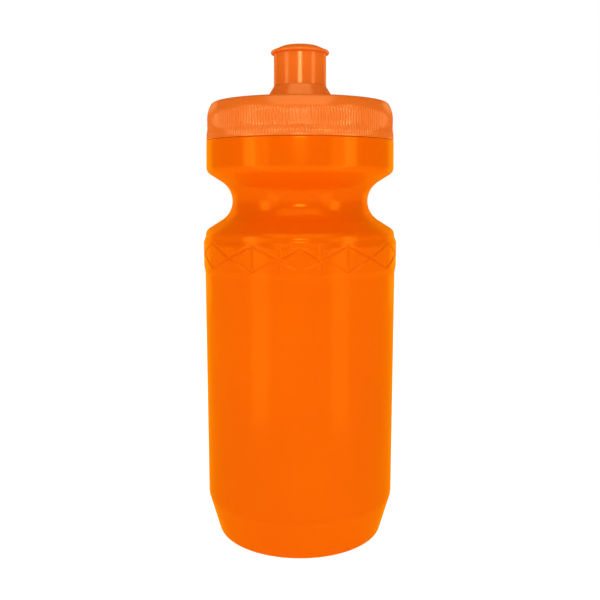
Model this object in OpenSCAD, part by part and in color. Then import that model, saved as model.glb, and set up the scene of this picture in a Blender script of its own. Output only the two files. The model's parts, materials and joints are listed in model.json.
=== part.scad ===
// Sports squeeze bottle with a screw lid and a push-pull spout.
// Millimetres. +Z is up, and the origin is on the axis, in the plane that the bottle stands on.
// Every solid is a turned outline. An outline is a list of corners [radius, height, fillet].

/* [Bottle body] */
// Outside diameter of the grip
body_d = 73.1; // [64:0.1:90]
// Height of the straight grip between the tapered foot and the pattern band
grip_h = 89.2; // [60:0.1:130]
// Height of the tapered foot
foot_h = 15.6; // [10:0.1:25]
// Angle of the foot's side from vertical
foot_angle = 16; // [8:0.5:20]
// Fillet between the foot and the grip
foot_knee_r = 5.2; // [2:0.1:10]
// Fillet along the edge that the bottle stands on
foot_edge_r = 1.8; // [1.2:0.1:3]
// Wall of the blown body
wall = 0.9; // [0.6:0.05:1.4]
// Diameter of the raised panel under the base
push_up_d = 46; // [30:1:50]
// Height of the raised panel above the standing ring
push_up_h = 3.2; // [1.5:0.1:6]
// Width of the slope from the raised panel down to the standing ring
push_up_slope = 4; // [2:0.1:5]

/* [Pattern band] */
// Height of the band from edge to edge
band_h = 12.6; // [11:0.1:18]
// How far the band stands out from the grip
band_raise = 0.45; // [0.3:0.05:1]
// Length of the bevel at each edge of the band
band_bevel = 2.4; // [1:0.1:3]
// Depth of the engraved lines
line_depth = 0.35; // [0.15:0.05:0.5]
// Width of the engraved lines
line_w = 0.8; // [0.5:0.05:1.2]
// Half of the angle that the narrow lozenge at the front and at the back spans
narrow_half_angle = 11.25; // [8:0.25:18]
// Half of the narrow lozenge's height
narrow_half_h = 3.9; // [2.5:0.1:4.5]
// Half of the wide lozenges' height
wide_half_h = 4.5; // [2.5:0.1:5]
// Wide lozenges on each side, between the two narrow ones
wide_count = 5; // [4:1:7]

/* [Finger groove] */
// Diameter at the bottom of the groove
waist_d = 51.7; // [46:0.1:58]
// Radius of the groove's bottom
waist_r = 8.46; // [5:0.1:12]
// Angle of the groove's flanks from vertical
flank_angle = 57.6; // [50:0.1:64]
// Fillet where a flank meets the band or the collar
flank_fillet = 3.07; // [1.5:0.05:4]
// Height of the ledge between the band and the groove's flank
ledge_h = 1.95; // [1:0.05:4]
// How far the ledge is set in from the grip
ledge_inset = 0.38; // [0.1:0.02:1]

/* [Collar and neck] */
// How far the collar stands out from the lid's ribs
collar_raise = 0.58; // [0.2:0.02:1.2]
// Height of the collar's side
collar_h = 11.5; // [8:0.1:16]
// Taper of the collar, as the radius lost over its height
collar_taper = 0.18; // [0:0.02:0.5]
// Fillet along the collar's top edge
collar_edge_r = 0.4; // [0.2:0.1:0.8]
// Wall of the neck
neck_wall = 1.7; // [1.2:0.1:2.5]

/* [Screw lid] */
// Gap between the collar and the lid's lower edge
lid_gap = 0.2; // [0.2:0.1:1.2]
// Diameter over the lid's ribs
lid_d = 69.94; // [67:0.02:74]
// How far the bead round the lower edge stands out from the ribs
bead_raise = 0.33; // [0.1:0.01:0.6]
// Height of the bead
bead_h = 2.1; // [0.8:0.1:3]
// Height of the slope from the ribs out to the bead
bead_slope_h = 1.5; // [0.8:0.1:2.5]
// Height of the lid's side, from the lower edge to the start of the shoulder's slope
lid_side_h = 10.5; // [9:0.1:14]
// Height of the sloping shoulder
lid_shoulder_h = 3.26; // [2:0.02:4]
// Slope of the shoulder from vertical
lid_shoulder_angle = 31.4; // [25:0.1:40]
// Fillet between the side and the shoulder
lid_shoulder_r = 9.8; // [4:0.1:9.9]
// Fillet between the shoulder and the top
lid_top_r = 2; // [1.7:0.1:3]
// Slope of the lid's top, in degrees
lid_top_slope = 3.2; // [1:0.1:5]
// Wall of the lid
lid_wall = 1.57; // [1.2:0.01:1.8]
// Grip ribs round the side
rib_count = 196; // [120:1:220]
// Depth of the grooves between the ribs
rib_depth = 0.26; // [0.15:0.01:0.4]

/* [Thread] */
// Rise of the lid for one turn
thread_lead = 4.2; // [3.8:0.1:5]
// Height of the thread's ridge
thread_h = 1.15; // [0.9:0.05:1.3]
// Width of the ridge where it leaves the wall
thread_root_w = 1.8; // [1.4:0.1:2]
// Width of the ridge's crest
thread_crest_w = 0.8; // [0.5:0.1:1]
// Angle that each thread runs through
thread_angle = 430; // [380:10:470]
// Gap between a crest and the wall that it faces
thread_gap = 0.35; // [0.3:0.05:0.5]
// Gap between the flanks of the two ridges
thread_play = 0.15; // [0.1:0.05:0.3]
// Distance from the neck's rim down to its ridge
thread_below_rim = 0.9; // [0.5:0.1:1.5]

/* [Sealing ring] */
// Thickness of the ring
ring_t = 1.6; // [1.2:0.1:2]
// Width of the ring
ring_w = 2.2; // [1.8:0.1:3]
// Gap left round the ring
ring_gap = 0.15; // [0.1:0.05:0.3]

/* [Spout] */
// Diameter of the spout's barrel
spout_d = 19.54; // [18:0.02:24]
// Height of the barrel
barrel_h = 11.4; // [9:0.1:14]
// Wall of the barrel
spout_wall = 1.3; // [1:0.1:1.6]
// How far the lip stands out from the barrel
lip_out = 1.12; // [0.6:0.02:2]
// Height of the lip's edge
lip_h = 1; // [0.9:0.1:2]
// Radius of the lip's rounded edge
lip_r = 0.56; // [0.3:0.02:0.6]
// Rise of the lip's underside from the barrel to the edge
lip_rise = 0.12; // [0:0.02:0.5]
// Height of the mouthpiece from the barrel to the top
mouthpiece_h = 3.1; // [2.8:0.1:6]
// Diameter at which the mouthpiece's cone meets its top
rim_d = 12.6; // [9:0.1:14]
// Radius of the curve from the cone to the top
rim_curve_r = 4; // [1:0.1:5]
// Diameter of the drinking hole
hole_d = 6; // [4:0.1:7]
// Travel of the spout from shut to open
spout_travel = 6; // [4:0.1:7]
// Radial running gap between the spout and the boss that it slides on
slide_gap = 0.08; // [0.05:0.01:0.1]
// Gap between the shut spout and the lid
spout_rest_gap = 0.05; // [0.05:0.05:0.6]

/* [Spout boss on the lid] */
// Height of the cone under the spout
cone_h = 5.3; // [4:0.1:8]
// Slope of the cone from vertical
cone_angle = 31.5; // [20:0.1:40]
// Wall of the tube inside the spout
tube_wall = 1.6; // [1.2:0.1:2]
// How far the catch on the tube stands out
catch_out = 0.3; // [0.2:0.05:0.5]
// Height of the catch
catch_h = 1.4; // [1:0.1:2]
// Width of each spoke that holds the plug
spoke_w = 1.8; // [1:0.1:2.5]
// Depth of each spoke
spoke_h = 2.4; // [1.5:0.1:4]
// Number of spokes
spoke_count = 3; // [3:1:4]
// How far the plug stops below the rim of the shut spout
plug_recess = 0.7; // [0.3:0.1:2]

/* [Hidden] */
$fn = 120;
arc_step = 9;       // degrees between the points of an outline's fillets
thread_step = 10;   // degrees between the sections of a thread
run_out = 2.5;      // sections over which a thread rises out of its wall
sink = 0.6;         // how deep a thread or a spoke is rooted in its wall
past = 1;           // how far a cutter runs past what it cuts
edge_r = 0.3;       // fillet of a small moulded edge
fine_r = 0.2;       // fillet of a still smaller one
joint_r = 0.05;     // fillet where two pieces meet flush

// Fillets and offsets of the bottle that keep their size
panel_r = 5;            // round the raised panel under the base
panel_foot_r = 2.5;     // where its slope meets the standing ring
band_curve_r = 3;       // at both ends of the bevel under the band
band_top_r = 2;         // where the band's upper bevel starts
ledge_corner_r = 2.4;   // where that bevel meets the ledge
ledge_corner_drop = 0.2;
neck_root_r = 0.6;
neck_rim_r = 0.4;
collar_roof_r = 1.2;
pattern_reach = 2;      // how far the pattern's prisms reach on either side of the band
divider_over = 0.45;    // how far an upright line beside a narrow lozenge passes the wide ones
bar_over = 0.15;        // how far the line through a wide lozenge passes it

// Fillets and offsets of the lid and the spout that keep their size
tooth_over = 0.1;       // how far the teeth that leave the ribs reach past the bead
cone_foot_r = 0.8;
catch_edge_r = 0.15;
tube_end_r = 0.4;
inside_r = 1;           // soft corners inside the lid
roof_r = 3;             // between the lid's roof and its skirt
roof_drop = 0.4;        // from a sloping corner to the roof's level
barrel_bead_h = 1;      // bead inside the barrel's lower end
keeper_w = 1;
plug_chamfer = 0.5;
chamber_r = 0.5;
chamber_taper = 1.2;    // radius lost on the way from the barrel's bore to the hole
chamber_lap = 2;        // least depth of the chamber below the barrel's top
chamber_gap = 0.4;      // room over the tube's end
hole_edge_h = 0.9;      // from the barrel's top up to the hole's straight part

// Bottle, from the base up
body_r = body_d / 2;
band_r = body_r + band_raise;
ledge_r = body_r - ledge_inset;
knee_z = foot_h;
foot_r = body_r - foot_h * tan(foot_angle);
band_z0 = foot_h + grip_h;
band_z1 = band_z0 + band_h;
band_mid_z = (band_z0 + band_z1) / 2;
ledge_z = band_z1 + ledge_h;
lid_r = lid_d / 2;
collar_r = lid_r + collar_raise;
flank_slope = 1 / tan(flank_angle);
waist_corner_r = waist_d / 2 + waist_r - waist_r / cos(flank_angle);
waist_z = ledge_z + (ledge_r - waist_corner_r) * flank_slope;
collar_z0 = waist_z + (collar_r - waist_corner_r) * flank_slope;
collar_z1 = collar_z0 + collar_h;
collar_top_r = collar_r - collar_taper;

// Lid, from its lower edge up
lid_z0 = collar_z1 + lid_gap;
skirt_r = lid_r - lid_wall;
bead_r = lid_r + bead_raise;
lid_side_z = lid_z0 + lid_side_h;
lid_shoulder_z = lid_side_z + lid_shoulder_h;
lid_shoulder_end_r = lid_r - lid_shoulder_h * tan(lid_shoulder_angle);

// Spout boss
spout_r = spout_d / 2;
cone_top_r = spout_r;
cone_base_r = cone_top_r + cone_h * tan(cone_angle);
cone_z0 = lid_shoulder_z + (lid_shoulder_end_r - cone_base_r) * tan(lid_top_slope);
cone_z1 = cone_z0 + cone_h;
barrel_bore_r = spout_r - spout_wall;
catch_r = barrel_bore_r - slide_gap;
tube_r = catch_r - catch_out;
tube_bore_r = tube_r - tube_wall;
spout_z0 = cone_z1 + spout_rest_gap;
catch_z0 = spout_z0 + barrel_bead_h + spout_travel + slide_gap;
tube_z1 = catch_z0 + catch_h;

// Spout
barrel_z1 = spout_z0 + barrel_h;
spout_z1 = barrel_z1 + mouthpiece_h;
lip_z0 = barrel_z1 + lip_rise;
lip_z1 = lip_z0 + lip_h;
rim_r = rim_d / 2;
hole_r = hole_d / 2;
plug_r = hole_r - slide_gap;
plug_z1 = spout_z1 - plug_recess;
chamber_z1 = max(tube_z1, barrel_z1 - chamber_lap) + chamber_gap;

// Neck and sealing ring, which reach up into the lid
neck_crest_r = skirt_r - thread_gap;
neck_r = neck_crest_r - thread_h;
mouth_r = neck_r - neck_wall;
roof_z = lid_shoulder_z - lid_wall;
ring_r = neck_r - ring_gap;
ring_z1 = roof_z - ring_gap;
ring_z0 = ring_z1 - ring_t;
neck_z1 = ring_z0 - ring_gap;
keeper_r = ring_r - ring_w - ring_gap;

// Threads, by the height at which each ridge's middle starts
// The lid's ridge bears on the underside of the neck's
thread_climb = thread_lead * thread_angle / 360;
neck_thread_z = neck_z1 - thread_below_rim - thread_root_w / 2 - thread_climb;
lid_thread_z = neck_thread_z - (thread_root_w + thread_crest_w) / 2 - thread_play;

// A corner of an outline rounded to radius r, as points along the arc
function unit(v) = v / norm(v);
function rounded_corner(a, b, c, r) =
    let(u = unit(a - b), v = unit(c - b), opening = acos(u * v), turn = 180 - opening)
    r <= 0 || turn < 1 ? [b] :
    let(
        centre = b + unit(u + v) * r / sin(opening / 2),
        start = b + u * r / tan(opening / 2) - centre,
        first = atan2(start[1], start[0]),
        way = sign(cross(b - a, c - b)),
        steps = max(2, ceil(turn / arc_step))
    )
    [for (i = [0:steps])
        let(angle = first + way * turn * i / steps)
        centre + r * [cos(angle), sin(angle)]];

function flat(p) = [p[0], p[1]];
function rounded(corners) =
    let(last = len(corners) - 1)
    [for (i = [0:last]) each
        i == 0 || i == last ? [flat(corners[i])] :
        rounded_corner(flat(corners[i - 1]), flat(corners[i]), flat(corners[i + 1]), corners[i][2])];

// The same outline moved to its left by t: a fillet that turns left gets tighter by t, the others wider
function left_of(a, b) = let(d = unit(flat(b) - flat(a))) [-d[1], d[0]];
function moved(corners, t) =
    let(last = len(corners) - 1)
    [for (i = [0:last])
        let(
            p = flat(corners[i]),
            n0 = i == 0 ? left_of(corners[0], corners[1]) : left_of(corners[i - 1], corners[i]),
            n1 = i == last ? n0 : left_of(corners[i], corners[i + 1]),
            q = p + t * (n0 + n1) / (1 + n0 * n1),
            turn = sign(cross(n0, n1))
        )
        [q[0], q[1], corners[i][2] <= 0 ? 0 : max(fine_r, corners[i][2] - turn * t)]];
function reversed(list) = [for (i = [len(list) - 1:-1:0]) list[i]];

// Bottle: the blown outline, from the middle of the base to the collar's top
blown = [
    [0, push_up_h, 0],
    [push_up_d / 2, push_up_h, panel_r],
    [push_up_d / 2 + push_up_slope, 0, panel_foot_r],
    [foot_r, 0, foot_edge_r],
    [body_r, knee_z, foot_knee_r],
    [body_r, band_z0 - band_bevel / 2, band_curve_r],
    [band_r, band_z0 + band_bevel / 2, band_curve_r],
    [band_r, band_z1 - band_bevel, band_top_r],
    [ledge_r, band_z1 - ledge_corner_drop, ledge_corner_r],
    [ledge_r, ledge_z, flank_fillet],
    [waist_corner_r, waist_z, waist_r],
    [collar_r, collar_z0, flank_fillet],
    [collar_top_r, collar_z1, collar_edge_r]
];
neck_outside = [
    [neck_r, collar_z1, neck_root_r],
    [neck_r, neck_z1, neck_rim_r],
    [mouth_r, neck_z1, neck_rim_r],
    [mouth_r, collar_z1 - neck_wall, inside_r]
];
blown_inside = reversed(moved([for (i = [0:len(blown) - 2]) blown[i]], wall));
collar_inside = [[collar_top_r - wall, collar_z1 - neck_wall, collar_roof_r]];

module turned(corners) {
    rotate_extrude() polygon(rounded(corners));
}

// A ridge that climbs by thread_lead a turn and runs out into the wall at both ends
// out is 1 for a ridge on an outer wall and -1 for one on an inner wall
module thread_ridge(wall_r, out, z0) {
    steps = ceil(thread_angle / thread_step);
    profile = [[-sink, thread_root_w / 2], [thread_h, thread_crest_w / 2],
               [thread_h, -thread_crest_w / 2], [-sink, -thread_root_w / 2]];
    n = len(profile);
    points = [for (i = [0:steps])
        let(
            angle = i * thread_angle / steps,
            z = z0 + thread_lead * angle / 360,
            grow = min(1, (i + 0.02) / run_out, (steps - i + 0.02) / run_out)
        )
        for (p = profile)
            let(r = wall_r + out * (p[0] > 0 ? p[0] * grow - (1 - grow) * sink / 2 : p[0]))
            [r * cos(angle), r * sin(angle), z + out * p[1]]];
    sides = [for (i = [0:steps - 1], j = [0:n - 1])
        let(a = i * n + j, b = i * n + (j + 1) % n)
        each [[a, b + n, b], [a, a + n, b + n]]];
    caps = [[for (j = [0:n - 1]) j], [for (j = [n - 1:-1:0]) steps * n + j]];
    polyhedron(points, concat(sides, caps), convexity = 6);
}

// One lozenge of the pattern as a prism along the radius, with or without the upright line through it
module lozenge(half_angle, half_h, bar_half_h) {
    w = band_r * sin(half_angle);
    lean = atan(half_h / w);
    dw = line_w / 2 / sin(lean);
    dh = line_w / 2 / cos(lean);
    translate([band_r - pattern_reach, 0, band_mid_z])
    rotate([90, 0, 90])
    linear_extrude(height = 2 * pattern_reach) {
        difference() {
            polygon([[-w - dw, 0], [0, -half_h - dh], [w + dw, 0], [0, half_h + dh]]);
            polygon([[-w + dw, 0], [0, -half_h + dh], [w - dw, 0], [0, half_h - dh]]);
        }
        if (bar_half_h > 0) translate([-line_w / 2, -bar_half_h]) square([line_w, 2 * bar_half_h]);
    }
}

module upright_line(half_h) {
    translate([band_r - pattern_reach, -line_w / 2, band_mid_z - half_h])
        cube([2 * pattern_reach, line_w, 2 * half_h]);
}

module pattern() {
    wide_half_angle = (90 - narrow_half_angle) / wide_count;
    intersection() {
        difference() {
            translate([0, 0, band_z0]) cylinder(r = band_r + past, h = band_h);
            translate([0, 0, band_z0 - past]) cylinder(r = band_r - line_depth, h = band_h + 2 * past);
        }
        for (side = [90, 270]) {
            rotate([0, 0, side]) lozenge(narrow_half_angle, narrow_half_h, 0);
            for (way = [-1, 1])
                rotate([0, 0, side + way * narrow_half_angle]) upright_line(wide_half_h + divider_over);
            for (i = [0:wide_count - 1])
                rotate([0, 0, side + narrow_half_angle + wide_half_angle * (2 * i + 1)])
                    lozenge(wide_half_angle, wide_half_h, wide_half_h + bar_over);
        }
    }
}

module bottle() {
    color("#FA6A00") {
        difference() {
            turned(concat(blown, neck_outside, collar_inside, blown_inside));
            pattern();
        }
        thread_ridge(neck_r, 1, neck_thread_z);
    }
}

// Lid: outside from the bead to the tube's top, then back down the inside
lid_outside = [
    [skirt_r, lid_z0, edge_r],
    [bead_r, lid_z0, edge_r],
    [bead_r, lid_z0 + bead_h, 0],
    [lid_r, lid_z0 + bead_h + bead_slope_h, 0],
    [lid_r, lid_side_z, lid_shoulder_r],
    [lid_shoulder_end_r, lid_shoulder_z, lid_top_r],
    [cone_base_r, cone_z0, cone_foot_r],
    [cone_top_r, cone_z1, joint_r],
    [tube_r, cone_z1, edge_r],
    [tube_r, catch_z0, 0],
    [catch_r, catch_z0, catch_edge_r],
    [catch_r, tube_z1, tube_end_r],
    [tube_bore_r, tube_z1, edge_r]
];
cone_inside_r = cone_base_r - lid_wall / cos(cone_angle);
roof_end_r = lid_shoulder_end_r - lid_wall / cos(lid_shoulder_angle) + lid_wall * tan(lid_shoulder_angle);
keeper_z = ring_z0 + roof_drop;
lid_inside = [
    [tube_bore_r, cone_z1 - lid_wall, inside_r],
    [cone_inside_r, roof_z + roof_drop, inside_r],
    [keeper_r - keeper_w, roof_z, chamber_r],
    [keeper_r - keeper_w, keeper_z, fine_r],
    [keeper_r, keeper_z, fine_r],
    [keeper_r, roof_z, fine_r],
    [roof_end_r, roof_z, edge_r],
    [skirt_r, lid_side_z - roof_drop, roof_r]
];

// Grooves between the ribs, as a ring with sharp teeth leaves them
// They cut the side and the bead, but not the lower edge
module rib_grooves() {
    pitch = 360 / rib_count;
    difference() {
        translate([0, 0, lid_z0 + 2 * edge_r]) cylinder(r = bead_r + past, h = lid_side_h + lid_shoulder_h);
        translate([0, 0, lid_z0]) linear_extrude(height = lid_side_h + lid_shoulder_h + 2 * past)
            polygon([for (i = [0:rib_count - 1], half = [0, 1])
                let(r = half == 0 ? bead_r + tooth_over : lid_r - rib_depth, a = (i + half / 2) * pitch)
                [r * cos(a), r * sin(a)]]);
    }
}

module plug() {
    shoulder_z = plug_z1 - plug_chamfer;
    spoke_z = tube_z1 - spoke_h;
    translate([0, 0, spoke_z]) cylinder(r = plug_r, h = shoulder_z - spoke_z);
    translate([0, 0, shoulder_z]) cylinder(r1 = plug_r, r2 = plug_r - plug_chamfer, h = plug_chamfer);
    for (i = [0:spoke_count - 1]) rotate([0, 0, 90 + i * 360 / spoke_count])
        translate([0, -spoke_w / 2, spoke_z]) cube([tube_bore_r + sink, spoke_w, spoke_h]);
}

module screw_lid() {
    color("#F57826") {
        difference() {
            turned(concat(lid_outside, lid_inside, [[skirt_r, lid_z0, 0]]));
            rib_grooves();
        }
        plug();
        thread_ridge(skirt_r, -1, lid_thread_z);
    }
}

module sealing_ring() {
    color("#D9D9D6") turned([
        [ring_r - ring_w / 2, ring_z0, 0],
        [ring_r, ring_z0, edge_r],
        [ring_r, ring_z1, edge_r],
        [ring_r - ring_w, ring_z1, edge_r],
        [ring_r - ring_w, ring_z0, edge_r],
        [ring_r - ring_w / 2, ring_z0, 0]
    ]);
}

// Spout: barrel, lip and mouthpiece outside, then the hole, the chamber and the bore inside
module push_pull_spout() {
    grip_r = tube_r + slide_gap;
    color("#F57826") turned([
        [grip_r, spout_z0 + barrel_bead_h / 2, 0],
        [grip_r, spout_z0, fine_r],
        [spout_r, spout_z0, joint_r],
        [spout_r, barrel_z1, fine_r],
        [spout_r + lip_out, lip_z0, lip_r],
        [spout_r + lip_out, lip_z1, lip_r],
        [rim_r, spout_z1, rim_curve_r],
        [hole_r, spout_z1, chamber_r],
        [hole_r, barrel_z1 + hole_edge_h, edge_r],
        [barrel_bore_r - chamber_taper, chamber_z1, chamber_r],
        [barrel_bore_r, chamber_z1, chamber_r],
        [barrel_bore_r, spout_z0 + barrel_bead_h, 0],
        [grip_r, spout_z0 + barrel_bead_h, fine_r],
        [grip_r, spout_z0 + barrel_bead_h / 2, 0]
    ]);
}

bottle();
screw_lid();
sealing_ring();
push_pull_spout();
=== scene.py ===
# %% [markdown]
# A sports squeeze bottle
#
# The bottle is four pieces of plastic: a soft blown bottle, a screw lid, the sealing ring under it and the
# spout that is pulled up to drink. The lid and the spout are moved by joints that were settled earlier, so
# this script only gives every piece its final surface and finish. It loads the working model as a frame,
# builds each piece in its place and lets it ride on the part that it belongs to.

# %% Load the frame
import json
import math

import bpy
import numpy as np
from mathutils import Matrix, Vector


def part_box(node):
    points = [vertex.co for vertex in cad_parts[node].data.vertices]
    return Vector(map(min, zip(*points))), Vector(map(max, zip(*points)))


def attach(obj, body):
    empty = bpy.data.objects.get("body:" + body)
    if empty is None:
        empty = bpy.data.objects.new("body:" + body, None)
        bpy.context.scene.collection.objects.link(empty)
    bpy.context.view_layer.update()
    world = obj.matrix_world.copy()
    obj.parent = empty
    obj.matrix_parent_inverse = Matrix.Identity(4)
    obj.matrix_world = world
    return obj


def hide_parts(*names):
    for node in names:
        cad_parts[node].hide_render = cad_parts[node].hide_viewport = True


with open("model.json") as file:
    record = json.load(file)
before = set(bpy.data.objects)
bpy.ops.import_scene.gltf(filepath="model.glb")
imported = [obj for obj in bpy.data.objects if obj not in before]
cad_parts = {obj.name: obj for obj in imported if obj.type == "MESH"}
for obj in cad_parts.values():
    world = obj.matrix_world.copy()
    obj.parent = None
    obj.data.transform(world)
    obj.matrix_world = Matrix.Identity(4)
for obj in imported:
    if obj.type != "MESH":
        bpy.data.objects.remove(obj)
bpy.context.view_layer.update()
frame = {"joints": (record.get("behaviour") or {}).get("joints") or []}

# %% [markdown]
# Sizes are written in millimetres, because that is how such a bottle is drawn, and become metres only when a
# mesh is made. The heights and radii that decide how the pieces fit come from the frame's own boxes.

# %% Sizes from the frame
MM = 0.001


def node_sizes(node):
    """Lowest height, highest height and radius of a node, in millimetres: its box, divided by a millimetre."""
    low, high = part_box(node)
    return low[2] / MM, high[2] / MM, high[0] / MM


_, neck_top, band_r = node_sizes("bottle")
lid_z, plug_top, bead_r = node_sizes("screw_lid")
ring_z0, ring_z1, ring_r = node_sizes("sealing_ring")
spout_z, spout_top, lip_r = node_sizes("push_pull_spout")
print(f"band radius {band_r:.2f}, neck top {neck_top:.2f}, lid edge {lid_z:.2f}")
print(f"spout from {spout_z:.2f} to {spout_top:.2f}")

# %% [markdown]
# Every piece is a turned shape, so one helper does most of the work. An outline is a list of corners, each a
# radius, a height and a fillet. The corners are rounded with true arcs, because it is the small radius on a
# moulded edge that catches the light and tells the eye how soft the plastic is.

# %% Outlines with rounded corners
ARC_STEP = 8.0
LEAST_STEPS = 3
LEAST_FILLET = 0.2


def corner_arc(before, corner, after, radius):
    """Points of the arc that touches both sides of a corner. The centre lies on the bisector, radius / sin(half the
    opening) away from the corner, and the arc turns through 180 degrees less the opening."""
    u = (before - corner) / np.linalg.norm(before - corner)
    v = (after - corner) / np.linalg.norm(after - corner)
    opening = math.acos(float(np.clip(u @ v, -1, 1)))
    turn = math.pi - opening
    if radius <= 0 or turn < math.radians(1):
        return corner[None, :]
    bisector = (u + v) / np.linalg.norm(u + v)
    centre = corner + bisector * radius / math.sin(opening / 2)
    start = corner + u * radius / math.tan(opening / 2) - centre
    way = np.sign((corner - before)[0] * (after - corner)[1] - (corner - before)[1] * (after - corner)[0])
    steps = max(LEAST_STEPS, math.ceil(math.degrees(turn) / ARC_STEP))
    angle = math.atan2(start[1], start[0]) + way * turn * np.linspace(0, 1, steps + 1)
    return centre + radius * np.stack([np.cos(angle), np.sin(angle)], axis=1)


def outline(corners, closed=False):
    """A list of [radius, height, fillet] as points, with every corner but the two ends rounded."""
    places = [np.array(c[:2], dtype=float) for c in corners]
    count = len(places)
    parts = []
    for i, place in enumerate(places):
        if not closed and i in (0, count - 1):
            parts.append(place[None, :])
        else:
            parts.append(corner_arc(places[i - 1], place, places[(i + 1) % count], corners[i][2]))
    return np.concatenate(parts)


def moved_in(corners, wall):
    """The same corners moved to the left of the path by wall: each goes along the sum of the two side normals,
    divided by one plus their product. A fillet that turns left loses the wall, the others gain it, and none
    gets smaller than LEAST_FILLET."""
    p = np.array([c[:2] for c in corners], dtype=float)
    d = np.diff(p, axis=0)
    d /= np.linalg.norm(d, axis=1)[:, None]
    n = np.stack([-d[:, 1], d[:, 0]], axis=1)
    n0 = np.vstack([n[:1], n])
    n1 = np.vstack([n, n[-1:]])
    q = p + wall * (n0 + n1) / (1 + (n0 * n1).sum(axis=1))[:, None]
    turn = np.sign(n0[:, 0] * n1[:, 1] - n0[:, 1] * n1[:, 0])
    radius = [0 if c[2] <= 0 else max(LEAST_FILLET, c[2] - t * wall) for c, t in zip(corners, turn)]
    return [[a, b, r] for (a, b), r in zip(q, radius)]


def finer(points, step, zone=None):
    """Splits each side of an outline into equal parts no longer than step. With a zone of (lowest radius, lowest
    height, highest radius, highest height), only sides whose middle is inside it are split."""
    out = [points[:1]]
    for a, b in zip(points[:-1], points[1:]):
        middle = (a + b) / 2
        inside = zone is None or (zone[0] <= middle[0] <= zone[2] and zone[1] <= middle[1] <= zone[3])
        parts = max(1, math.ceil(np.linalg.norm(b - a) / step - 1e-9)) if inside else 1
        t = np.arange(1, parts + 1)[:, None] / parts
        out.append(a + (b - a) * t)
    return np.concatenate(out)


def supported(points, reach=0.5):
    """Adds a point close to each end of every long side, so that the smooth shading stays on the fillets."""
    out = [points[:1]]
    for a, b in zip(points[:-1], points[1:]):
        length = np.linalg.norm(b - a)
        if length > 3 * reach:
            out.append(np.stack([a + (b - a) * reach / length, b - (b - a) * reach / length]))
        out.append(b[None, :])
    return np.concatenate(out)


right_angle = np.array([[0.0, 0.0], [9.0, 0.0], [9.0, 9.0]])
print("a 2 mm fillet on a right angle takes", len(corner_arc(*right_angle, 2)), "points")

# %% [markdown]
# A turned surface is a stack of rings. Detail such as ribs needs over a thousand points round a ring, while a
# plain wall looks right with about two hundred, so each ring has its own count. Between a fine ring and a
# coarse one, each coarse side is joined to its share of the fine sides by a small fan of triangles. The
# surface stays closed, and no points are spent where nothing happens.

# %% Rings to a closed mesh
def side_faces(low, high, low_count, high_count):
    """Faces between two rings, as a list of index arrays. Point j of a ring is at angle j / count of a turn; equal
    rings are joined by quads, a single point by a fan, and a ring with a whole number of times as many points
    by triangles from each coarse side to its share of the fine sides."""
    if low_count == high_count:
        j = np.arange(low_count)
        k = (j + 1) % low_count
        return [np.stack([low + j, low + k, high + k, high + j], axis=1)]
    if low_count == 1 or high_count == 1:
        count = max(low_count, high_count)
        j = np.arange(count)
        k = (j + 1) % count
        ring = high if low_count == 1 else low
        tip = np.full(count, low if low_count == 1 else high)
        a, b = (ring + k, ring + j) if low_count == 1 else (ring + j, ring + k)
        return [np.stack([tip, a, b], axis=1)]
    coarse, fine, count = (low, high, low_count) if low_count < high_count else (high, low, high_count)
    times = max(low_count, high_count) // count
    j = np.arange(count)
    k = (j + 1) % count
    faces = []
    for m in range(times):
        a = fine + (j * times + m)
        b = fine + (j * times + m + 1) % (count * times)
        tip = coarse + (j if m < times // 2 else k)
        faces.append(np.stack([tip, b, a], axis=1) if low_count < high_count else np.stack([tip, a, b], axis=1))
    middle = fine + (j * times + times // 2)
    pair = (coarse + j, coarse + k) if low_count < high_count else (coarse + k, coarse + j)
    faces.append(np.stack([pair[0], pair[1], middle], axis=1))
    return faces


def lathe(name, points, columns, closed=False, shape=None):
    """A closed mesh turned about Z. points is the outline in millimetres, columns the number of points in each
    ring, and shape(radius, height, angle) gives the true radius at each point of a ring."""
    rings = []
    counts = []
    for (r, z), count in zip(points, columns):
        count = 1 if r < 1e-6 else int(count)
        angle = np.arange(count) * 2 * math.pi / count
        true_r = r + 0 * angle if shape is None or count == 1 else shape(r, z, angle)
        rings.append(np.stack([true_r * np.cos(angle), true_r * np.sin(angle), z + 0 * angle], axis=1))
        counts.append(count)
    starts = np.concatenate([[0], np.cumsum(counts)])
    faces = []
    pairs = [(i, i + 1) for i in range(len(counts) - 1)] + ([(len(counts) - 1, 0)] if closed else [])
    for i, j in pairs:
        faces += side_faces(starts[i], starts[j], counts[i], counts[j])
    return mesh_object(name, np.concatenate(rings) * MM, faces)


def mesh_object(name, verts, faces):
    """Writes points and faces, given as arrays of index rows, straight into a new mesh, smooth shaded."""
    mesh = bpy.data.meshes.new(name)
    corners = np.concatenate([f.ravel() for f in faces]).astype(np.int32)
    sizes = np.concatenate([np.full(len(f), f.shape[1]) for f in faces])
    mesh.vertices.add(len(verts))
    mesh.vertices.foreach_set("co", verts.astype(np.float32).ravel())
    mesh.loops.add(len(corners))
    mesh.loops.foreach_set("vertex_index", corners)
    mesh.polygons.add(len(sizes))
    mesh.polygons.foreach_set("loop_start", np.concatenate([[0], np.cumsum(sizes)[:-1]]).astype(np.int32))
    mesh.update(calc_edges=True)
    mesh.validate()
    mesh.shade_smooth()
    obj = bpy.data.objects.new(name, mesh)
    bpy.context.scene.collection.objects.link(obj)
    print(f"{name}: {len(verts)} points, {int((sizes - 2).sum())} triangles")
    return obj


# %% [markdown]
# The thread is part of the wall that it climbs, so it isn't a separate coil laid on the neck. Each point of the
# wall is pushed out by the height of the ridge there. The ridge has a flat crest and sloping flanks, and runs
# out into the wall at both ends, as the moulds leave it.

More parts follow.
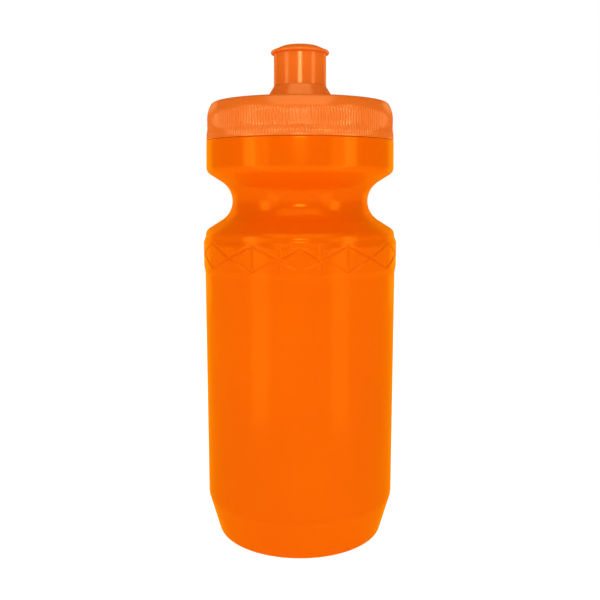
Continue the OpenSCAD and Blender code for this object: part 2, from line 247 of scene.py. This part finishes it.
# %% The thread as a height on the wall
THREAD_LEAD = 4.2
THREAD_H = 1.15
THREAD_ANGLE = 430.0
THREAD_ROOT_W = 1.8
THREAD_CREST_W = 0.8
THREAD_FADE = 25.0


def ridge(z, angle, z_start):
    """Height of the thread above the wall: for each turn, a trapezium across the helix
    z_start + lead * degrees / 360, times a ramp that grows over the first and last degrees."""
    height = 0 * angle
    for turn in range(math.ceil(THREAD_ANGLE / 360)):
        degrees = np.degrees(angle) + 360 * turn
        off = np.abs(z - z_start - THREAD_LEAD * degrees / 360)
        across = np.clip((THREAD_ROOT_W / 2 - off) / ((THREAD_ROOT_W - THREAD_CREST_W) / 2), 0, 1)
        ends = np.clip(np.minimum(degrees, THREAD_ANGLE - degrees) / THREAD_FADE, 0, 1)
        height = np.maximum(height, THREAD_H * across * ends)
    return height


# %% [markdown]
# The bottle is blown: a warm tube of polyethylene is caught between two mould halves and pushed against them by
# air. So the wall is thin and even, every corner is soft, and the inside repeats the outside. One outline
# goes from the middle of the base up the outside, over the rim and down the inside, which gives the bottle a
# real wall and a real neck when the lid is off.

# %% The bottle's outline
WALL = 0.9
BAND_RAISE = 0.45
PANEL_R = 23
PANEL_H = 3.2
STAND_R = 27
FOOT_H = 15.6
FOOT_ANGLE = math.radians(16)
BAND_Z0 = 104.8
BAND_Z1 = 117.4
BAND_BEVEL = 2.4
LEDGE_H = 1.95
LEDGE_INSET = 0.38
LEDGE_DROP = 0.2
FLANK = math.radians(57.6)
FLANK_FILLET = 3.07
WAIST_R = 25.85
WAIST_FILLET = 8.46
COLLAR_RAISE = 0.58
COLLAR_TAPER = 0.18
LID_R = 34.97
LID_WALL = 1.57
LID_GAP = 0.1
THREAD_GAP = 0.35
NECK_WALL = 1.7
RIM_FILLET = 0.4

body_r = band_r - BAND_RAISE
ledge_r = body_r - LEDGE_INSET
collar_r = LID_R + COLLAR_RAISE
neck_r = LID_R - LID_WALL - THREAD_GAP - THREAD_H
mouth_r = neck_r - NECK_WALL
waist_corner_r = WAIST_R + WAIST_FILLET - WAIST_FILLET / math.cos(FLANK)
waist_z = BAND_Z1 + LEDGE_H + (ledge_r - waist_corner_r) / math.tan(FLANK)
collar_z = waist_z + (collar_r - waist_corner_r) / math.tan(FLANK)
collar_top = lid_z - LID_GAP

blown = [
    [0, PANEL_H, 0],
    [PANEL_R, PANEL_H, 5],
    [STAND_R, 0, 2.5],
    [body_r - FOOT_H * math.tan(FOOT_ANGLE), 0, 1.8],
    [body_r, FOOT_H, 5.2],
    [body_r, BAND_Z0 - BAND_BEVEL / 2, 3],
    [band_r, BAND_Z0 + BAND_BEVEL / 2, 3],
    [band_r, BAND_Z1 - BAND_BEVEL, 2],
    [ledge_r, BAND_Z1 - LEDGE_DROP, 2.4],
    [ledge_r, BAND_Z1 + LEDGE_H, FLANK_FILLET],
    [waist_corner_r, waist_z, WAIST_FILLET],
    [collar_r, collar_z, FLANK_FILLET],
    [collar_r - COLLAR_TAPER, collar_top, 0.4],
]
neck = [
    [neck_r, collar_top, 0.6],
    [neck_r, neck_top, RIM_FILLET],
    [mouth_r, neck_top, RIM_FILLET],
    [mouth_r, collar_top - NECK_WALL, 1],
    [collar_r - COLLAR_TAPER - WALL, collar_top - NECK_WALL, 1.2],
]
bottle_outline = outline(blown + neck + moved_in(blown[:-1], WALL)[::-1])
print("waist at", round(waist_z, 1), "mm, collar from", round(collar_z, 1), "to", round(collar_top, 1), "mm")

# %% [markdown]
# The band round the bottle is a raised strip with thin lines cut into it: a narrow lozenge at the front and one
# at the back, and a row of wide ones between them with an upright line through each. It could be a bump in
# the material, but the lines are deep enough to catch a shadow and to show at the edge of the bottle, so they
# are cut into the mesh. The strip is unrolled flat, and each point moves in by the depth of the nearest line.

# %% The engraved band
LINE_DEPTH = 0.36
LINE_HALF_W = 0.52
NARROW_HALF = 11.25
NARROW_HALF_H = 3.9
WIDE_COUNT = 5
WIDE_HALF_H = 4.5
SHARED_OVER = 0.45
MIDDLE_OVER = 0.15
WIDE_HALF = (90 - NARROW_HALF) / WIDE_COUNT


def to_lozenge(x, y, half_w, half_h):
    """Distance to the outline of a lozenge: |x| / half_w + |y| / half_h is 1 on it, and dividing the difference by
    the length of its slope turns it into millimetres."""
    return np.abs(np.abs(x) / half_w + np.abs(y) / half_h - 1) / math.hypot(1 / half_w, 1 / half_h)


def to_upright(x, y, half_h):
    """Distance to an upright line from -half_h to half_h."""
    return np.hypot(x, np.maximum(np.abs(y) - half_h, 0))


def line_depth(z, angle):
    """Depth of the cut at a height and angles round the bottle: LINE_DEPTH * near * near * (3 - 2 * near), where
    near is 1 on the nearest line and falls evenly to 0 at LINE_HALF_W from it. The groove is round."""
    arc = math.radians(1) * band_r
    y = z - (BAND_Z0 + BAND_Z1) / 2 + 0 * angle
    turn = (np.degrees(angle) + 90) % 180
    turn = np.minimum(turn, 180 - turn)
    nearest = to_lozenge(turn * arc, y, NARROW_HALF * arc, NARROW_HALF_H)
    nearest = np.minimum(nearest, to_upright((turn - NARROW_HALF) * arc, y, WIDE_HALF_H + SHARED_OVER))
    for i in range(WIDE_COUNT):
        x = (turn - NARROW_HALF - WIDE_HALF * (2 * i + 1)) * arc
        nearest = np.minimum(nearest, to_lozenge(x, y, WIDE_HALF * arc, WIDE_HALF_H))
        nearest = np.minimum(nearest, to_upright(x, y, WIDE_HALF_H + MIDDLE_OVER))
    near = np.clip(1 - nearest / LINE_HALF_W, 0, 1)
    return LINE_DEPTH * near * near * (3 - 2 * near)


print("lozenges:", 2 + 2 * WIDE_COUNT, "- each wide one spans", 2 * WIDE_HALF, "degrees")

# %% [markdown]
# The rings of the band and of the neck's thread are close together, a little over a quarter of a millimetre, and
# those of the band have four times the points of the others. The rest of the wall keeps a few rings, with one
# near each end of a straight side so that the fillets stay crisp.

# %% Build the bottle
BOTTLE_COLUMNS = 188
BAND_COLUMNS = 4 * BOTTLE_COLUMNS
BAND_STEP = 0.26
BAND_EDGE = 0.2
THREAD_STEP = 0.3
THREAD_BELOW_RIM = 0.9
NECK_FOOT_H = 0.3
WALL_STEP = 9
ON_WALL = 0.1
neck_thread_z = neck_top - THREAD_BELOW_RIM - THREAD_ROOT_W / 2 - THREAD_LEAD * THREAD_ANGLE / 360


def bottle_shape(r, z, angle):
    """Radius of the outside: the outline's own, less the cut on the band and plus the thread on the neck."""
    if r > body_r - ON_WALL and BAND_Z0 + BAND_EDGE < z < BAND_Z1:
        return r - line_depth(z, angle)
    if r > neck_r - ON_WALL and z > collar_top + NECK_FOOT_H:
        return r + ridge(z, angle, neck_thread_z)
    return r + 0 * angle


band_zone = (body_r - BAND_EDGE, BAND_Z0 + BAND_EDGE, band_r + 1, BAND_Z1)
thread_zone = (neck_r - ON_WALL, collar_top + NECK_FOOT_H, neck_r + ON_WALL, neck_top)
bottle_points = finer(supported(bottle_outline), BAND_STEP, band_zone)
bottle_points = finer(bottle_points, THREAD_STEP, thread_zone)
bottle_points = finer(bottle_points, WALL_STEP)
point_r, point_z = bottle_points.T
on_band = (point_r > body_r - BAND_EDGE) & (point_z > BAND_Z0 + BAND_EDGE) & (point_z < BAND_Z1)
bottle_columns = np.where(on_band, BAND_COLUMNS, BOTTLE_COLUMNS)
bottle = lathe("bottle_body", bottle_points, bottle_columns, shape=bottle_shape)
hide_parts("bottle")
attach(bottle, "bottle")

# %% [markdown]
# The lid is injected, so it is stiffer and its edges are crisper than the bottle's. Its side has nearly two
# hundred fine ribs for the hand, each drawn with eight points round the ring. They are cut into a round side
# whose shoulder curves inwards, and so they fade out by themselves where the shoulder drops below the bottom
# of their grooves. At the lower end the grooves cross the bead, and there they are shallower.

# %% The lid's outline
BEAD_H = 2.1
BEAD_SLOPE_H = 1.5
SIDE_H = 10.5
SHOULDER_H = 3.26
SHOULDER = math.radians(31.4)
TOP_SLOPE = math.radians(3.2)
CONE_H = 5.3
CONE = math.radians(31.5)
SPOUT_R = 9.77
SPOUT_WALL = 1.3
SLIDE_GAP = 0.08
CATCH_OUT = 0.3
CATCH_H = 1.4
TUBE_WALL = 1.6
SLEEVE_BEAD_H = 1
KEEPER_IN = 2.35
KEEPER_W = 1
KEEPER_SHORT = 0.4
ROOF_RISE = 0.4
travel = next(j for j in frame["joints"] if j["name"] == "spout_pull")["range_m"][1] / MM

skirt_r = LID_R - LID_WALL
side_z = lid_z + SIDE_H
shoulder_z = side_z + SHOULDER_H
shoulder_r = LID_R - SHOULDER_H * math.tan(SHOULDER)
cone_r = SPOUT_R + CONE_H * math.tan(CONE)
cone_z0 = shoulder_z + (shoulder_r - cone_r) * math.tan(TOP_SLOPE)
cone_z1 = cone_z0 + CONE_H
roof_z = shoulder_z - LID_WALL
barrel_bore_r = SPOUT_R - SPOUT_WALL
catch_r = barrel_bore_r - SLIDE_GAP
tube_r = catch_r - CATCH_OUT
tube_bore_r = tube_r - TUBE_WALL
catch_z = spout_z + SLEEVE_BEAD_H + travel + SLIDE_GAP
tube_top = catch_z + CATCH_H
keeper_r = ring_r - KEEPER_IN

lid_corners = [
    [skirt_r, lid_z, 0.3],
    [bead_r, lid_z, 0.2],
    [bead_r, lid_z + BEAD_H, 3],
    [LID_R, lid_z + BEAD_H + BEAD_SLOPE_H, 3],
    [LID_R, side_z, 9.8],
    [shoulder_r, shoulder_z, 2],
    [cone_r, cone_z0, 0.8],
    [SPOUT_R, cone_z1, 0.05],
    [tube_r, cone_z1, 0.3],
    [tube_r, catch_z, 0.05],
    [catch_r, catch_z, 0.15],
    [catch_r, tube_top, 0.4],
    [tube_bore_r, tube_top, 0.3],
    [tube_bore_r, cone_z1 - LID_WALL, 1],
    [cone_r - LID_WALL / math.cos(CONE), roof_z + ROOF_RISE, 1],
    [keeper_r - KEEPER_W, roof_z, 0.5],
    [keeper_r - KEEPER_W, ring_z0 + KEEPER_SHORT, 0.2],
    [keeper_r, ring_z0 + KEEPER_SHORT, 0.2],
    [keeper_r, roof_z, 0.2],
    [shoulder_r - LID_WALL / math.cos(SHOULDER) + LID_WALL * math.tan(SHOULDER), roof_z, 0.3],
    [skirt_r, side_z - ROOF_RISE, 3],
]
lid_outline = outline(lid_corners, closed=True)
print("lid from", round(lid_z, 2), "to", round(tube_top, 2), "mm, cone from", round(cone_z0, 2))

# %% Build the lid
RIB_COUNT = 196
RIB_DEPTH = 0.26
RIB_POINTS = 8
RIB_FLAT = 0.3
RIB_START = 0.6
RIB_LOW = 0.4
RIB_LOW_H = 3
RIB_REACH = 1
RIB_STEP = 0.8
LID_STEP = 6
THREAD_PLAY = 0.15
lid_thread_z = neck_thread_z - (THREAD_ROOT_W + THREAD_CREST_W) / 2 - THREAD_PLAY
rib_z0 = lid_z + RIB_START


def lid_shape(r, z, angle):
    """Radius of the lid: outside, the smaller of the outline's and the ribs', which have flat crests and rounded
    grooves: the crest's radius less depth * (wave - RIB_FLAT) / (1 - RIB_FLAT), where wave is half of 1 - cosine.
    The depth grows from RIB_LOW of its full value at the bead to all of it RIB_LOW_H above. Inside the skirt,
    the outline's radius less the thread's ridge."""
    if r > LID_R - RIB_REACH and z > rib_z0:
        wave = np.clip((0.5 - 0.5 * np.cos(RIB_COUNT * angle) - RIB_FLAT) / (1 - RIB_FLAT), 0, 1)
        low = np.interp(z, [lid_z + BEAD_H, lid_z + BEAD_H + RIB_LOW_H], [RIB_LOW, 1])
        return np.minimum(r, max(r, LID_R) - RIB_DEPTH * low * wave)
    if abs(r - skirt_r) < 0.05 and lid_z + 0.4 < z < side_z - 1.5:
        return r - ridge(z, angle, lid_thread_z)
    return r + 0 * angle


lid_points = supported(np.vstack([lid_outline, lid_outline[:1]]))[:-1]
rib_zone = (LID_R - RIB_REACH, rib_z0 - 0.2, bead_r + ON_WALL, shoulder_z)
lid_points = finer(lid_points, RIB_STEP, rib_zone)
lid_points = finer(lid_points, THREAD_STEP, (skirt_r - 0.05, lid_z + 0.3, skirt_r + 0.05, side_z - 1))
lid_points = finer(lid_points, LID_STEP)
ribbed = (lid_points[:, 0] > LID_R - RIB_REACH) & (lid_points[:, 1] > rib_z0 - 0.4)
lid_columns = np.where(ribbed, RIB_COUNT * RIB_POINTS, RIB_COUNT)
lid = lathe("lid_shell", lid_points, lid_columns, closed=True, shape=lid_shape)
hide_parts("screw_lid")
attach(lid, "lid")

# %% [markdown]
# Inside the tube, three spokes hold a plug that fills the drinking hole when the spout is pushed down. It is the
# same moulding as the lid. It shows in the hole from above, and between the spokes when the lid is off.

# %% The plug and its spokes
HOLE_R = 3.0
PLUG_COLUMNS = 64
SPOKE_COUNT = 3
SPOKE_W = 1.8
SPOKE_H = 2.4
SPOKE_DROP = 0.1
INTO_PLUG = 0.6
INTO_TUBE = 0.4

plug_r = HOLE_R - SLIDE_GAP
spoke_z = tube_top - SPOKE_H
plug_corners = [[0, spoke_z, 0], [plug_r, spoke_z, 0.5], [plug_r, plug_top, 0.6], [0, plug_top, 0]]
plug_points = finer(supported(outline(plug_corners)), 2)
plug = lathe("valve_plug", plug_points, np.full(len(plug_points), PLUG_COLUMNS))


def bar(name, x0, x1, half_w, z0, z1, turns, round_r=0.3):
    """Bars along the radius, from x0 to x1, copied to each angle of turns. The cross-section is a rectangle with
    rounded corners carried along x, and one face closes it at each end."""
    rectangle = [(-half_w, z0), (half_w, z0), (half_w, z1), (-half_w, z1)]
    section = outline([[y, z, round_r] for y, z in rectangle], closed=True)
    n = len(section)
    verts = []
    faces = []
    for c, turn in enumerate(turns):
        x = np.repeat([x0, x1], n)
        y = np.tile(section[:, 0], 2)
        z = np.tile(section[:, 1], 2)
        turned_x = x * math.cos(turn) - y * math.sin(turn)
        turned_y = x * math.sin(turn) + y * math.cos(turn)
        verts.append(np.stack([turned_x, turned_y, z], axis=1))
        j = np.arange(n) + 2 * n * c
        k = (np.arange(n) + 1) % n + 2 * n * c
        faces.append(np.stack([j, k, k + n, j + n], axis=1))
        faces.append(j[::-1][None, :])
        faces.append((j + n)[None, :])
    return mesh_object(name, np.concatenate(verts) * MM, faces)


spoke_turns = [math.radians(90 + 360 * i / SPOKE_COUNT) for i in range(SPOKE_COUNT)]
spokes = bar("valve_spokes", plug_r - INTO_PLUG, tube_bore_r + INTO_TUBE, SPOKE_W / 2, spoke_z, tube_top - SPOKE_DROP,
             spoke_turns)
for piece in (plug, spokes):
    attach(piece, "lid")

# %% [markdown]
# The spout is one sleeve. Its lip is where the teeth or the fingers pull it up, so the edge is fully round. The
# small bead inside its lower end grips the lid's tube and stops against the catch when the spout is open.

# %% The spout
SPOUT_COLUMNS = 192
BARREL_H = 11.4
LIP_EDGE_R = 0.56
LIP_H = 1.0
LIP_RISE = 0.12
RIM_R = 6.3
RIM_CURVE_R = 4.0
CHAMBER_BELOW = 2
CHAMBER_GAP = 0.4
CHAMBER_IN = 1.2
HOLE_RISE = 0.9

barrel_top = spout_z + BARREL_H
lip_z = barrel_top + LIP_RISE
bead_bore_r = tube_r + SLIDE_GAP
chamber_top = max(tube_top, barrel_top - CHAMBER_BELOW) + CHAMBER_GAP
spout_corners = [
    [bead_bore_r, spout_z, 0.2],
    [SPOUT_R, spout_z, 0.05],
    [SPOUT_R, barrel_top, 0.2],
    [lip_r, lip_z, LIP_EDGE_R],
    [lip_r, lip_z + LIP_H, LIP_EDGE_R],
    [RIM_R, spout_top, RIM_CURVE_R],
    [HOLE_R, spout_top, 0.5],
    [HOLE_R, barrel_top + HOLE_RISE, 0.3],
    [barrel_bore_r - CHAMBER_IN, chamber_top, 0.5],
    [barrel_bore_r, chamber_top, 0.5],
    [barrel_bore_r, spout_z + SLEEVE_BEAD_H, 0.05],
    [bead_bore_r, spout_z + SLEEVE_BEAD_H, 0.2],
]
spout_outline = outline(spout_corners, closed=True)
spout_points = finer(supported(np.vstack([spout_outline, spout_outline[:1]]), 0.3)[:-1], 2)
spout = lathe("spout_sleeve", spout_points, np.full(len(spout_points), SPOUT_COLUMNS), closed=True)
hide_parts("push_pull_spout")
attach(spout, "spout")

# %% [markdown]
# The sealing ring is a flat washer of soft silicone with slightly rounded edges, pressed between the neck's rim
# and the roof of the lid. It shows only when the lid is off.

# %% The sealing ring
RING_W = 2.2
RING_EDGE = 0.3
ring_corners = [
    [ring_r - RING_W, ring_z0, RING_EDGE],
    [ring_r, ring_z0, RING_EDGE],
    [ring_r, ring_z1, RING_EDGE],
    [ring_r - RING_W, ring_z1, RING_EDGE],
]
ring_points = outline(ring_corners, closed=True)
ring = lathe("seal_washer", ring_points, np.full(len(ring_points), SPOUT_COLUMNS), closed=True)
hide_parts("sealing_ring")
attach(ring, "seal")

# %% [markdown]
# Colours are written as they are seen, in sRGB, and turned to the linear values that light is counted in.

# %% Colour and node helpers


def linear(hex_colour):
    """sRGB hex to linear RGBA: each channel c becomes c / 12.92 below 0.04045, else ((c + 0.055) / 1.055) ** 2.4."""
    c = np.array([int(hex_colour[i:i + 2], 16) / 255 for i in (1, 3, 5)])
    value = np.where(c <= 0.04045, c / 12.92, ((c + 0.055) / 1.055) ** 2.4)
    return (*value.tolist(), 1.0)


def add_node(tree, kind, settings=None, links=None):
    """Adds one node. settings gives its properties and the values of its sockets, links the output that feeds each
    input. A socket is given by its name, or by its number where names repeat."""
    node = tree.nodes.new(kind)
    for key, value in (settings or {}).items():
        if isinstance(key, int) or key in node.inputs:
            node.inputs[key].default_value = value
        else:
            setattr(node, key, value)
    for key, source in (links or {}).items():
        tree.links.new(source, node.inputs[key])
    return node


def new_material(name):
    """An empty material, with its tree, its output and the object's own coordinates."""
    material = bpy.data.materials.new(name)
    material.use_nodes = True
    tree = material.node_tree
    tree.nodes.clear()
    output = add_node(tree, "ShaderNodeOutputMaterial")
    place = add_node(tree, "ShaderNodeTexCoord").outputs["Object"]
    return material, tree, output, place


def dress(obj, material):
    """Gives a piece its one material."""
    obj.data.materials.clear()
    obj.data.materials.append(material)


# %% [markdown]
# The bottle is low-density polyethylene. Blowing leaves a satin skin: the mould is lightly blasted so that air can
# escape, and its fine grain prints on the wall. The plastic is soft, waxy and a little translucent, so light
# enters it and comes out warmer near the edges. Thickness varies slowly, which shows as slightly lighter and
# deeper patches. So there are three scales: patches of some 40 mm, ripples of 12 mm and a grain of 0.5 mm.
#
# A plain specular layer turns white where it is seen at a flat angle, and this plastic stays orange up to its
# edge. So that layer is off, and a thin gloss tinted like the plastic is mixed over it by the same small share
# everywhere.

# %% Blow-moulded polyethylene
PATCH = 40 * MM
RIPPLE = 12 * MM
GRAIN = 0.5 * MM
WAX_SHARE = 0.07

blown_pe, tree, output, place = new_material("low_density_polyethylene_blow_moulded")
patches = add_node(tree, "ShaderNodeTexNoise", {"Scale": 1 / PATCH, "Detail": 1.0}, {"Vector": place})
tint = add_node(tree, "ShaderNodeValToRGB", None, {"Fac": patches.outputs["Fac"]})
tint.color_ramp.elements[0].position = 0.3
tint.color_ramp.elements[0].color = linear("#E05500")
tint.color_ramp.elements[1].position = 0.7
tint.color_ramp.elements[1].color = linear("#E45900")
grain = add_node(tree, "ShaderNodeTexNoise", {"Scale": 1 / GRAIN, "Detail": 2.0}, {"Vector": place})
ripple = add_node(tree, "ShaderNodeTexNoise", {"Scale": 1 / RIPPLE, "Detail": 1.0}, {"Vector": place})
shine = add_node(tree, "ShaderNodeMapRange", {"From Min": 0.3, "From Max": 0.7, "To Min": 0.14, "To Max": 0.19},
                 {"Value": grain.outputs["Fac"]})
waves = add_node(tree, "ShaderNodeBump", {"Strength": 0.25, "Distance": 0.3 * MM},
                 {"Height": ripple.outputs["Fac"]})
skin = add_node(tree, "ShaderNodeBump", {"Strength": 0.25, "Distance": 0.02 * MM},
                {"Height": grain.outputs["Fac"], "Normal": waves.outputs["Normal"]})
plastic = add_node(tree, "ShaderNodeBsdfPrincipled",
                   {"Specular IOR Level": 0.0,
                    "Sheen Weight": 0.9, "Sheen Roughness": 0.35, "Sheen Tint": linear("#FFA800"),
                    "Subsurface Weight": 0.15, "Subsurface Scale": 2 * MM, "Subsurface Radius": (1.0, 0.35, 0.05)},
                   {"Base Color": tint.outputs["Color"], "Roughness": shine.outputs["Result"],
                    "Normal": skin.outputs["Normal"]})
wax = add_node(tree, "ShaderNodeBsdfGlossy", {"Color": linear("#FFA020")},
               {"Roughness": shine.outputs["Result"], "Normal": skin.outputs["Normal"]})
surface = add_node(tree, "ShaderNodeMixShader", {0: WAX_SHARE}, {1: plastic.outputs["BSDF"], 2: wax.outputs["BSDF"]})
tree.links.new(surface.outputs["Shader"], output.inputs["Surface"])
dress(bottle, blown_pe)
print("bottle:", blown_pe.name)

# %% [markdown]
# The lid and the spout are injected. Their moulds are polished with stone, so the relief of their skin is
# shallower than the bottle's and its grain finer. The plastic holds a little white, which makes the same
# orange paler and slightly redder. Their gloss is a tinted layer too, stronger on the lid than on the spout.

# %% Injection-moulded lid and spout
FLOW = 15 * MM
FINE_GRAIN = 0.35 * MM
SHINE_SPREAD = 0.04


def injected(name, deep, pale, rough, gloss):
    """A moulded plastic: slow patches between two close colours, a fine grain in the shine and the skin, and a
    tinted gloss mixed over it: surface = (1 - gloss) * plastic + gloss * polish."""
    material, tree, output, place = new_material(name)
    flow = add_node(tree, "ShaderNodeTexNoise", {"Scale": 1 / FLOW, "Detail": 2.0}, {"Vector": place})
    tint = add_node(tree, "ShaderNodeValToRGB", None, {"Fac": flow.outputs["Fac"]})
    tint.color_ramp.elements[0].position = 0.3
    tint.color_ramp.elements[0].color = linear(deep)
    tint.color_ramp.elements[1].position = 0.7
    tint.color_ramp.elements[1].color = linear(pale)
    grain = add_node(tree, "ShaderNodeTexNoise", {"Scale": 1 / FINE_GRAIN, "Detail": 2.0}, {"Vector": place})
    shine = add_node(tree, "ShaderNodeMapRange",
                     {"From Min": 0.3, "From Max": 0.7,
                      "To Min": rough - SHINE_SPREAD, "To Max": rough + SHINE_SPREAD},
                     {"Value": grain.outputs["Fac"]})
    skin = add_node(tree, "ShaderNodeBump", {"Strength": 0.1, "Distance": 0.01 * MM},
                    {"Height": grain.outputs["Fac"]})
    plastic = add_node(tree, "ShaderNodeBsdfPrincipled",
                       {"Specular IOR Level": 0.0,
                        "Subsurface Weight": 0.1, "Subsurface Scale": 1 * MM, "Subsurface Radius": (1.0, 0.4, 0.1)},
                       {"Base Color": tint.outputs["Color"], "Roughness": shine.outputs["Result"],
                        "Normal": skin.outputs["Normal"]})
    polish = add_node(tree, "ShaderNodeBsdfGlossy", {"Color": linear("#FFC880")},
                      {"Roughness": shine.outputs["Result"], "Normal": skin.outputs["Normal"]})
    surface = add_node(tree, "ShaderNodeMixShader", {0: gloss},
                       {1: plastic.outputs["BSDF"], 2: polish.outputs["BSDF"]})
    tree.links.new(surface.outputs["Shader"], output.inputs["Surface"])
    return material


lid_pp = injected("polypropylene_injection_moulded", "#DD6112", "#E16516", 0.2, 0.10)
spout_pe = injected("polyethylene_injection_moulded", "#E66816", "#EA6C1A", 0.18, 0.055)
for piece in (lid, plug, spokes):
    dress(piece, lid_pp)
dress(spout, spout_pe)

# %% [markdown]
# The ring is a soft grey-white silicone. It is matt, because it picks up a film of fine dust in use, and a little
# light enters it.

# %% The sealing ring's silicone
DUST = 3 * MM

silicone, tree, output, place = new_material("silicone_rubber_moulded")
dust = add_node(tree, "ShaderNodeTexNoise", {"Scale": 1 / DUST, "Detail": 3.0}, {"Vector": place})
tint = add_node(tree, "ShaderNodeValToRGB", None, {"Fac": dust.outputs["Fac"]})
tint.color_ramp.elements[0].color = linear("#CFCFCB")
tint.color_ramp.elements[1].color = linear("#E2E2DE")
skin = add_node(tree, "ShaderNodeBump", {"Strength": 0.2, "Distance": 0.02 * MM},
                {"Height": dust.outputs["Fac"]})
rubber = add_node(tree, "ShaderNodeBsdfPrincipled",
                  {"IOR": 1.41, "Roughness": 0.55, "Subsurface Weight": 0.3, "Subsurface Scale": 1.5 * MM},
                  {"Base Color": tint.outputs["Color"], "Normal": skin.outputs["Normal"]})
tree.links.new(rubber.outputs["BSDF"], output.inputs["Surface"])
dress(ring, silicone)

# %% [markdown]
# The studio is a white floor under a white sky, which lights the plastic evenly from all sides, and eight soft
# boxes that the camera doesn't see. Two upright ones at the sides and two narrow ones close by show as soft
# upright streaks on the bottle. A cylinder turns a streak to about half the angle of its box, so a far box 60
# degrees to the side shows at about 30 degrees round the wall. Two wide boxes behind light the edges, a small
# one high in front lights the lid and the groove, and a large one lights everything from above.

# %% Floor, sky and soft boxes
FLOOR_R = 6.0
FLOOR_Z = -0.05 * MM
SKY_LIGHT = 0.30
floor_corners = FLOOR_R * np.array([[-1, -1, 0], [1, -1, 0], [1, 1, 0], [-1, 1, 0]]) + [0, 0, FLOOR_Z]
floor = mesh_object("floor", floor_corners, [np.array([[0, 1, 2, 3]])])
paper, tree, output, place = new_material("matt_white_paper")
paper_shader = add_node(tree, "ShaderNodeBsdfPrincipled",
                        {"Base Color": linear("#A0A09E"), "Roughness": 0.9, "Specular IOR Level": 0.1,
                         "Emission Color": (1, 1, 1, 1), "Emission Strength": 0.9})
tree.links.new(paper_shader.outputs["BSDF"], output.inputs["Surface"])
dress(floor, paper)

sky = bpy.data.worlds.new("white_sky")
sky.use_nodes = True
tree = sky.node_tree
seen = tree.nodes["Background"]
seen.inputs["Color"].default_value = (1, 1, 1, 1)
lighting = add_node(tree, "ShaderNodeBackground", {"Color": (1, 1, 1, 1), "Strength": SKY_LIGHT})
rays = add_node(tree, "ShaderNodeLightPath")
both = add_node(tree, "ShaderNodeMixShader", None,
                {0: rays.outputs["Is Camera Ray"], 1: lighting.outputs[0], 2: seen.outputs[0]})
tree.links.new(both.outputs["Shader"], tree.nodes["World Output"].inputs["Surface"])
bpy.context.scene.world = sky


def soft_box(name, degrees, distance, height, width, tall, watts, down=0):
    """A rectangular light, hidden from the camera. It stands at an angle round from the front and a distance from
    the bottle's axis, faces the axis and looks down by another angle. Lengths are in metres, angles in degrees."""
    light = bpy.data.lights.new(name, "AREA")
    light.shape = "RECTANGLE"
    light.size = width
    light.size_y = tall
    light.energy = watts
    obj = bpy.data.objects.new(name, light)
    turn = math.radians(degrees)
    obj.location = (distance * math.sin(turn), -distance * math.cos(turn), height)
    obj.rotation_euler = (math.radians(90 - down), 0, turn)
    obj.visible_camera = False
    bpy.context.scene.collection.objects.link(obj)


soft_box("box_left", -60, 0.45, 0.25, 0.12, 0.30, 0.35)
soft_box("box_right", 60, 0.45, 0.25, 0.12, 0.30, 0.35)
soft_box("strip_left", -44, 0.20, 0.08, 0.07, 0.22, 0.05)
soft_box("strip_right", 44, 0.20, 0.08, 0.07, 0.22, 0.05)
soft_box("box_back_left", -145, 0.6, 0.20, 0.30, 0.40, 0.8)
soft_box("box_back_right", 145, 0.6, 0.20, 0.30, 0.40, 0.8)
soft_box("box_front_high", 0, 0.6, 0.27, 0.15, 0.07, 0.6)
soft_box("box_above", 0, 0.35, 0.75, 0.8, 0.8, 2.4, 60)

# %% [markdown]
# The camera looks slightly down on the bottle from close by, so that the lid, which is above eye level, shows
# its edge and not its top. Colours are shown as they are, without a film-like curve.

# %% Camera
CAMERA_AWAY = 0.297
CAMERA_HEIGHT = 0.136
PITCH = 8.44
LENS = 45.93
SENSOR = 36

camera_data = bpy.data.cameras.new("camera")
camera_data.sensor_width = SENSOR
camera_data.lens = LENS
camera_data.clip_start = 0.01
camera = bpy.data.objects.new("camera", camera_data)
camera.location = (0, -CAMERA_AWAY, CAMERA_HEIGHT)
camera.rotation_euler = (math.radians(90 - PITCH), 0, 0)
bpy.context.scene.collection.objects.link(camera)
bpy.context.scene.camera = camera
bpy.context.scene.view_settings.view_transform = "Standard"
